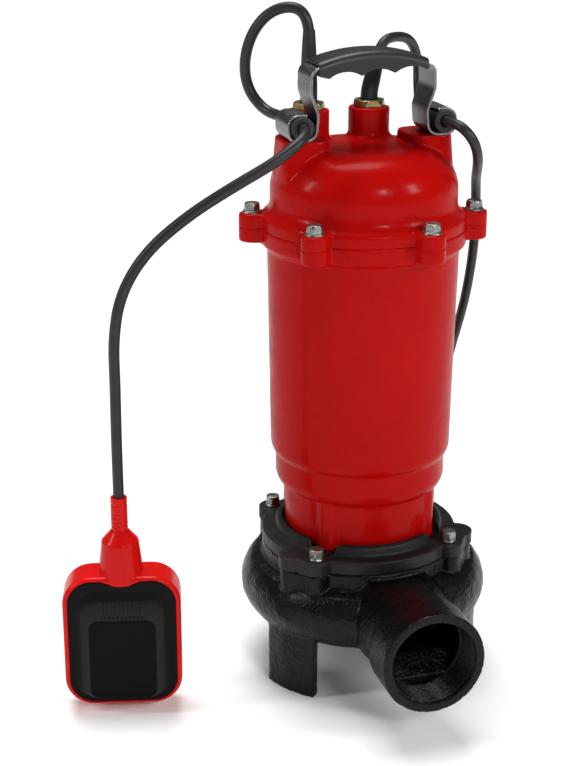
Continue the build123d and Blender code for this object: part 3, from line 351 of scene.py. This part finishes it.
def ceramic():
    s = Shader("ceramic", (0.75, 0.73, 0.68), 0.15)
    s.colours(s.noise(60, 3), [(0.3, (0.7, 0.68, 0.63)), (0.7, (0.8, 0.78, 0.74))])
    s.roughness_from(s.noise(220, 3), 0.1, 0.2)
    return s.material


MATERIALS = {
    "red_enamel": red_enamel(),
    "black_casting": black_casting(),
    "bare_casting": bare_casting(),
    "bolt_steel": plated_steel(),
    "bracket_steel": strip_steel(),
    "seal_rubber": moulded("seal_rubber", (0.012, 0.012, 0.013), (0.022, 0.022, 0.023),
                           0.45, 0.65),
    "core_steel": laminated_steel(),
    "winding_copper": wound_copper(),
    "cage_aluminium": metal("cage_aluminium", (0.5, 0.51, 0.52), (0.7, 0.71, 0.72), 0.3, 0.5),
    "shaft_steel": metal("shaft_steel", (0.48, 0.48, 0.49), (0.62, 0.62, 0.63), 0.15, 0.3),
    "bearing_steel": metal("bearing_steel", (0.6, 0.6, 0.61), (0.7, 0.7, 0.71), 0.08, 0.16),
    "seal_ceramic": ceramic(),
    "seal_steel": metal("seal_steel", (0.42, 0.42, 0.42), (0.6, 0.6, 0.6), 0.2, 0.35),
    "capacitor_shell": moulded("capacitor_shell", (0.5, 0.5, 0.48), (0.62, 0.62, 0.6),
                               0.35, 0.5),
    "terminal_plastic": moulded("terminal_plastic", (0.62, 0.6, 0.52), (0.74, 0.72, 0.64),
                                0.4, 0.55),
    "brass": metal("brass", (0.17, 0.12, 0.045), (0.4, 0.3, 0.13), 0.26, 0.44),
    "grip_plastic": moulded("grip_plastic", (0.009, 0.009, 0.0095), (0.015, 0.015, 0.0155),
                            0.36, 0.5, 0.12, 500),
    "cable_jacket": moulded("cable_jacket", (0.008, 0.008, 0.0085), (0.014, 0.014, 0.0145),
                            0.36, 0.52, 0.05, 300),
    "plug_rubber": moulded("plug_rubber", (0.014, 0.014, 0.015), (0.022, 0.022, 0.023), 0.45, 0.62),
    "pin_brass": metal("pin_brass", (0.55, 0.5, 0.4), (0.7, 0.66, 0.56), 0.15, 0.28),
    "float_red": moulded("float_red", (0.48, 0.004, 0.003), (0.55, 0.005, 0.004),
                         0.22, 0.32, 0.05, 260, coat=0.08, specular=0.08),
    "float_black": float_black(),
}
MATTE_CASTING = black_casting_matte()
SLOT_OF = {part["node"]: part["material_slot"] for part in frame["record"]["subparts"]}

for node_name, node_object in nodes.items():
    node_object.data.materials.clear()
    node_object.data.materials.append(MATERIALS[SLOT_OF[node_name]])

# ------------------------------------------------------------------------------------------------
# Mesh helpers
# ------------------------------------------------------------------------------------------------


def link(piece):
    scene.collection.objects.link(piece)
    return piece


def applied(piece):
    """Replaces the piece's mesh by what its modifiers make of it."""
    graph = bpy.context.evaluated_depsgraph_get()
    graph.update()
    mesh = bpy.data.meshes.new_from_object(piece.evaluated_get(graph))
    piece.modifiers.clear()
    piece.data = mesh
    return piece


def shade_smooth(piece):
    piece.data.polygons.foreach_set("use_smooth", [True] * len(piece.data.polygons))
    piece.data.update()


def finish_piece(piece, body, slot, material=None):
    piece.data.materials.clear()
    piece.data.materials.append(material or MATERIALS[slot])
    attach(piece, body)
    return piece


JOINT_BAND = 1.4                # voxels on each side of a joint face that keep its shape


def softened(node, voxel, passes, body=PUMP, relief=0.0, grain=12.0, material=None,
             joints=()):
    """A copy of a CAD node with its edges rounded as a casting's or a moulding's are.

    voxel, relief and grain are in millimetres: the mesh step, the height of the surface's waviness
    and its scale. joints are the heights of flat joint faces, which stay flat and sharp, each with
    the little way that it is let into its neighbour.
    """
    piece = link(bpy.data.objects.new(node + "_skin", nodes[node].data.copy()))
    step = piece.modifiers.new("step", "REMESH")
    step.mode = "VOXEL"
    step.voxel_size = voxel * MM
    step.use_smooth_shade = True
    applied(piece)
    free = piece.vertex_groups.new(name="free")
    away = [v.index for v in piece.data.vertices
            if all(abs(v.co.z - joint * MM) > voxel * JOINT_BAND * MM for joint, sink in joints)]
    free.add(away, 1.0, "REPLACE")
    rounding = piece.modifiers.new("rounding", "SMOOTH")
    rounding.factor = 0.5
    rounding.iterations = passes
    rounding.vertex_group = "free"
    if relief:
        waves = bpy.data.textures.new(node + "_waves", "CLOUDS")
        waves.noise_scale = grain * MM
        waves.noise_depth = 2
        displace = piece.modifiers.new("relief", "DISPLACE")
        displace.texture = waves
        displace.texture_coords = "LOCAL"
        displace.strength = relief * MM
        displace.mid_level = 0.5
        displace.vertex_group = "free"
    applied(piece)
    piece.vertex_groups.clear()
    for joint, sink in joints:
        for vertex in piece.data.vertices:
            if abs(vertex.co.z - joint * MM) < voxel * JOINT_BAND * MM:
                vertex.co.z += sink * MM
    shade_smooth(piece)
    finish_piece(piece, body, SLOT_OF[node], material)
    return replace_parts(piece, node)


def mesh_piece(name, vertices, faces):
    mesh = bpy.data.meshes.new(name)
    mesh.from_pydata(vertices, [], faces)
    piece = link(bpy.data.objects.new(name, mesh))
    tidy = bmesh.new()
    tidy.from_mesh(mesh)
    bmesh.ops.recalc_face_normals(tidy, faces=tidy.faces)
    tidy.to_mesh(mesh)
    tidy.free()
    shade_smooth(piece)
    return piece


def nurbs(name, points, radius=0.0, resolution=8):
    """A smooth curve with the points, in millimetres, as its control points."""
    curve = bpy.data.curves.new(name, "CURVE")
    curve.dimensions = "3D"
    spline = curve.splines.new("NURBS")
    spline.points.add(len(points) - 1)
    for place, point in zip(spline.points, points):
        place.co = (point[0] * MM, point[1] * MM, point[2] * MM, 1.0)
    spline.order_u = 3
    spline.use_endpoint_u = True
    spline.resolution_u = resolution
    curve.bevel_depth = radius * MM
    curve.bevel_resolution = 6
    curve.use_fill_caps = radius > 0
    return link(bpy.data.objects.new(name, curve))


def points_along(name, points, resolution=8):
    """The points of a route's own smooth line, in metres."""
    guide = nurbs(name, points, resolution=resolution)
    graph = bpy.context.evaluated_depsgraph_get()
    graph.update()
    mesh = bpy.data.meshes.new_from_object(guide.evaluated_get(graph))
    line = [vertex.co.copy() for vertex in mesh.vertices]
    bpy.data.objects.remove(guide)
    bpy.data.meshes.remove(mesh)
    return line


def tube(name, line, radii, sides=24):
    """A closed tube along a line of points, with a radius for each point, all in metres."""
    vertices, faces = [], []
    side = Vector((1.0, 0.0, 0.0))
    for k, point in enumerate(line):
        ahead = (line[min(k + 1, len(line) - 1)] - line[max(k - 1, 0)]).normalized()
        side = (side - ahead * side.dot(ahead)).normalized()
        other = ahead.cross(side)
        for j in range(sides):
            turn = math.tau * j / sides
            vertices.append(point + (side * math.cos(turn) + other * math.sin(turn)) * radii[k])
    for k in range(len(line) - 1):
        for j in range(sides):
            a, b = k * sides + j, k * sides + (j + 1) % sides
            faces.append((a, b, b + sides, a + sides))
    faces.append(tuple(range(sides)))
    faces.append(tuple(range(len(vertices) - sides, len(vertices))))
    return mesh_piece(name, vertices, faces)


# ------------------------------------------------------------------------------------------------
# Camera
# ------------------------------------------------------------------------------------------------

CAMERA_PLACE = Vector((-0.3642, -1.0283, 0.5933))
CAMERA_HEADING = math.radians(16.64)     # from +Y towards +X
CAMERA_TILT = math.radians(19.33)        # downwards
CAMERA_LENS = 76.7                       # millimetres


def make_camera():
    data = bpy.data.cameras.new("camera")
    data.lens = CAMERA_LENS
    data.sensor_width = 36.0
    camera = link(bpy.data.objects.new("camera", data))
    camera.location = CAMERA_PLACE
    look = Vector((math.sin(CAMERA_HEADING) * math.cos(CAMERA_TILT),
                   math.cos(CAMERA_HEADING) * math.cos(CAMERA_TILT), -math.sin(CAMERA_TILT)))
    camera.rotation_euler = look.to_track_quat("-Z", "Y").to_euler()
    scene.camera = camera


make_camera()

# ------------------------------------------------------------------------------------------------
# Cords
# ------------------------------------------------------------------------------------------------

COIL_STEPS = 16                 # control points in each turn of the coil
COIL_START = -9.0               # degrees, where the cable comes along the floor
COIL_END = 16.0
CROSS_FROM, CROSS_TO = 0.80, 1.0     # the part of each turn where the cable steps to its neighbour


def coil_points():
    """The wound cable: layers of turns side by side, outwards and inwards in turn."""
    swell = 1.0 / math.cos(math.pi / COIL_STEPS)
    outer = COIL_MEAN_R + COIL_PITCH * (COIL_WIDE - 1) / 2
    radii, heights = [], []
    for layer in range(COIL_LAYERS):
        row = [outer - COIL_PITCH * k for k in range(COIL_WIDE)]
        radii += row if layer % 2 == 0 else row[::-1]
        heights += [COIL_BOTTOM + COIL_PITCH * layer] * COIL_WIDE
    turns = len(radii) + (COIL_END - COIL_START) / 360.0
    points = []
    for step in range(1, int(turns * COIL_STEPS) + 1):
        turn, share = divmod(step / COIL_STEPS, 1.0)
        turn = min(int(turn), len(radii) - 1)
        after = min(turn + 1, len(radii) - 1)
        middle = (CROSS_FROM + CROSS_TO) / 2
        across = min(max((share - middle) / (CROSS_TO - middle), 0.0), 1.0)
        if heights[after] > heights[turn]:
            across = min(max((share - CROSS_FROM) / (CROSS_TO - CROSS_FROM), 0.0), 1.0)
        radius = radii[turn] + (radii[after] - radii[turn]) * across
        height = heights[turn] + (heights[after] - heights[turn]) * across
        angle = math.radians(COIL_START + 360.0 * step / COIL_STEPS)
        points.append((COIL_CENTRE[0] + radius * swell * math.cos(angle),
                       COIL_CENTRE[1] + radius * swell * math.sin(angle), height))
    return points


def power_cord():
    route = POWER_LOOP + POWER_DROP + coil_points() + POWER_TAIL
    cord = nurbs("power_cord", route, POWER_D / 2, resolution=6)
    cord.data.materials.append(MATERIALS["cable_jacket"])
    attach(cord, PUMP)
    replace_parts(cord, "power_cord_loop", "power_cord_drop", "power_cord_coil", "power_cord_tail")
    plug = softened("power_plug_body", 0.55, 4)


def float_cord():
    line = points_along("float_route", FLOAT_LOOP + FLOAT_DROP + FLOAT_TAIL, resolution=14)
    cord = tube("float_cord", line, [FLOAT_D / 2 * MM] * len(line))
    cord.data.materials.append(MATERIALS["cable_jacket"])
    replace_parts(cord, "float_cord_loop", "float_cord_drop", "float_cord_tail")
    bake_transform(cord)


def sleeve(name, route, foot_r, top_r, hold):
    """The rubber sleeve above a gland. It tapers to the cable, the later the higher hold is."""
    line = points_along(name + "_route", route, resolution=10)
    last = len(line) - 1
    radii = [(foot_r + (top_r - foot_r) * (k / last) ** hold) * MM for k in range(last + 1)]
    piece = tube(name + "_skin", line, radii, 32)
    finish_piece(piece, PUMP, "seal_rubber")
    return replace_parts(piece, name)


power_cord()
float_cord()
# both sleeves go on a few millimetres past the tops that the CAD sleeves have
sleeve("power_sleeve",
       [(POWER_X, TOWER_Y, 396.0), (POWER_X, TOWER_Y, 404.0), (POWER_X, TOWER_Y, 413.0),
        (12.0, 21.95, 419.5), POWER_SLEEVE_TOP, (18.4, 26.5, 439.5)],
       foot_r=5.85, top_r=4.1, hold=5.0)
sleeve("float_sleeve",
       [(FLOAT_CABLE_X, TOWER_Y, z) for z in (396.0, 414.0, 432.0, 449.0, 456.0)],
       foot_r=5.85, top_r=3.95, hold=2.0)

# ------------------------------------------------------------------------------------------------
# Cast parts
# ------------------------------------------------------------------------------------------------


def discharge_thread():
    """The female pipe thread in the port, as a thin ring whose inside follows the thread."""
    around, along = 120, 96
    vertices, faces = [], []
    for row in range(along + 1):
        depth = THREAD_LONG * row / along
        fade = min(1.0, depth / 2.2, (THREAD_LONG - depth) / 1.0)
        for k in range(around):
            turn = math.tau * k / around
            share = (depth / THREAD_PITCH - k / around) % 1.0
            crest = 1.0 - abs(2.0 * share - 1.0)
            crest = min(max(crest * 1.3 - 0.15, 0.0), 1.0)
            radius = THREAD_R - 0.02 - THREAD_DEEP * crest * fade
            vertices.append(((PORT_X + radius * math.cos(turn)) * MM,
                             (PORT_FACE + THREAD_START + depth) * MM,
                             (PORT_Z + radius * math.sin(turn)) * MM))
    for row in (0, along):
        depth = THREAD_LONG * row / along
        for k in range(around):
            turn = math.tau * k / around
            radius = THREAD_R + THREAD_WALL
            vertices.append(((PORT_X + radius * math.cos(turn)) * MM,
                             (PORT_FACE + THREAD_START + depth) * MM,
                             (PORT_Z + radius * math.sin(turn)) * MM))
    outer = (along + 1) * around
    for k in range(around):
        n = (k + 1) % around
        for row in range(along):
            a, b = row * around, (row + 1) * around
            faces.append((a + k, a + n, b + n, b + k))
        faces.append((k, n, outer + n, outer + k))
        last = along * around
        faces.append((last + k, last + n, outer + around + n, outer + around + k))
        faces.append((outer + k, outer + n, outer + around + n, outer + around + k))
    piece = mesh_piece("discharge_thread", vertices, faces)
    return finish_piece(piece, PUMP, "black_casting")


softened("motor_housing", 1.1, 6, relief=0.2, grain=16, joints=((FLANGE_JOINT, JOINT_SINK),))
softened("upper_cap", 1.0, 7, relief=0.25, grain=14, joints=((FLANGE_JOINT, -JOINT_SINK),))
softened("volute_casing", 1.0, 6, relief=0.7, grain=9)
softened("oil_chamber_cover", 0.9, 4, relief=0.4, grain=9, material=MATTE_CASTING)
discharge_thread()

# ------------------------------------------------------------------------------------------------
# Handle, glands and bushes
# ------------------------------------------------------------------------------------------------

softened("handle_bracket_left", 0.5, 2)
softened("handle_bracket_right", 0.5, 2)
softened("handle_grip", 0.6, 12)
softened("cable_bushes", 0.4, 3)
softened("gland_nuts", 0.4, 2)
softened("flange_bolts", 0.42, 2)
softened("volute_bolts", 0.42, 2)

# ------------------------------------------------------------------------------------------------
# Float
# ------------------------------------------------------------------------------------------------

softened("float_frame", 0.6, 6, body=FLOAT)
softened("float_collar", 0.45, 3, body=FLOAT)
softened("float_face_front", 0.34, 2, body=FLOAT)
softened("float_face_back", 0.34, 2, body=FLOAT)

# ------------------------------------------------------------------------------------------------
# Stage and light
# ------------------------------------------------------------------------------------------------


def floor():
    half = 6.0
    corners = [(-half, -half, 0), (half, -half, 0), (half, half, 0), (-half, half, 0)]
    piece = mesh_piece("floor", [Vector(c) for c in corners], [(0, 1, 2, 3)])
    surface = Shader("pale_floor", (0.88, 0.88, 0.88), 0.8, specular=0.0)
    surface.set("Emission Color", (1.0, 1.0, 1.0, 1.0))
    surface.set("Emission Strength", 0.06)
    piece.data.materials.append(surface.material)


LIGHT_TARGET = (0.0, 0.0, 0.25)


def softbox(name, bearing, distance, height, width, tall, power):
    """A soft area light. bearing is in degrees from the camera's side, clockwise seen from above."""
    light = bpy.data.lights.new(name, "AREA")
    light.shape = "RECTANGLE"
    light.size = width
    light.size_y = tall
    light.energy = power
    towards = CAMERA_HEADING + math.pi - math.radians(bearing)
    place = Vector((math.sin(towards) * distance, math.cos(towards) * distance, height))
    lamp = link(bpy.data.objects.new(name, light))
    lamp.location = place
    lamp.rotation_euler = (Vector(LIGHT_TARGET) - place).to_track_quat("-Z", "Y").to_euler()


def skylight(name, power, bearing, height, spread):
    """A broad even light from far above. bearing and height are in degrees."""
    light = bpy.data.lights.new(name, "SUN")
    light.energy = power
    light.angle = math.radians(spread)
    towards = CAMERA_HEADING + math.pi - math.radians(bearing)
    flat = math.cos(math.radians(height))
    place = Vector((math.sin(towards) * flat, math.cos(towards) * flat, math.sin(math.radians(height))))
    lamp = link(bpy.data.objects.new(name, light))
    lamp.rotation_euler = (-place).to_track_quat("-Z", "Y").to_euler()


def world():
    sky = bpy.data.worlds.new("studio")
    sky.use_nodes = True
    background = sky.node_tree.nodes["Background"]
    background.inputs["Color"].default_value = (1.0, 1.0, 1.0, 1.0)
    background.inputs["Strength"].default_value = 0.12
    scene.world = sky
    scene.view_settings.view_transform = "Standard"


floor()
skylight("sky", 3.1, 195, 74, 34)
softbox("left_box", -75, 1.5, 1.0, 0.2, 0.6, 9)
softbox("right_box", 62, 1.5, 1.0, 0.24, 0.5, 10)
softbox("front_box", 22, 1.6, 1.1, 0.3, 0.25, 10)
world()
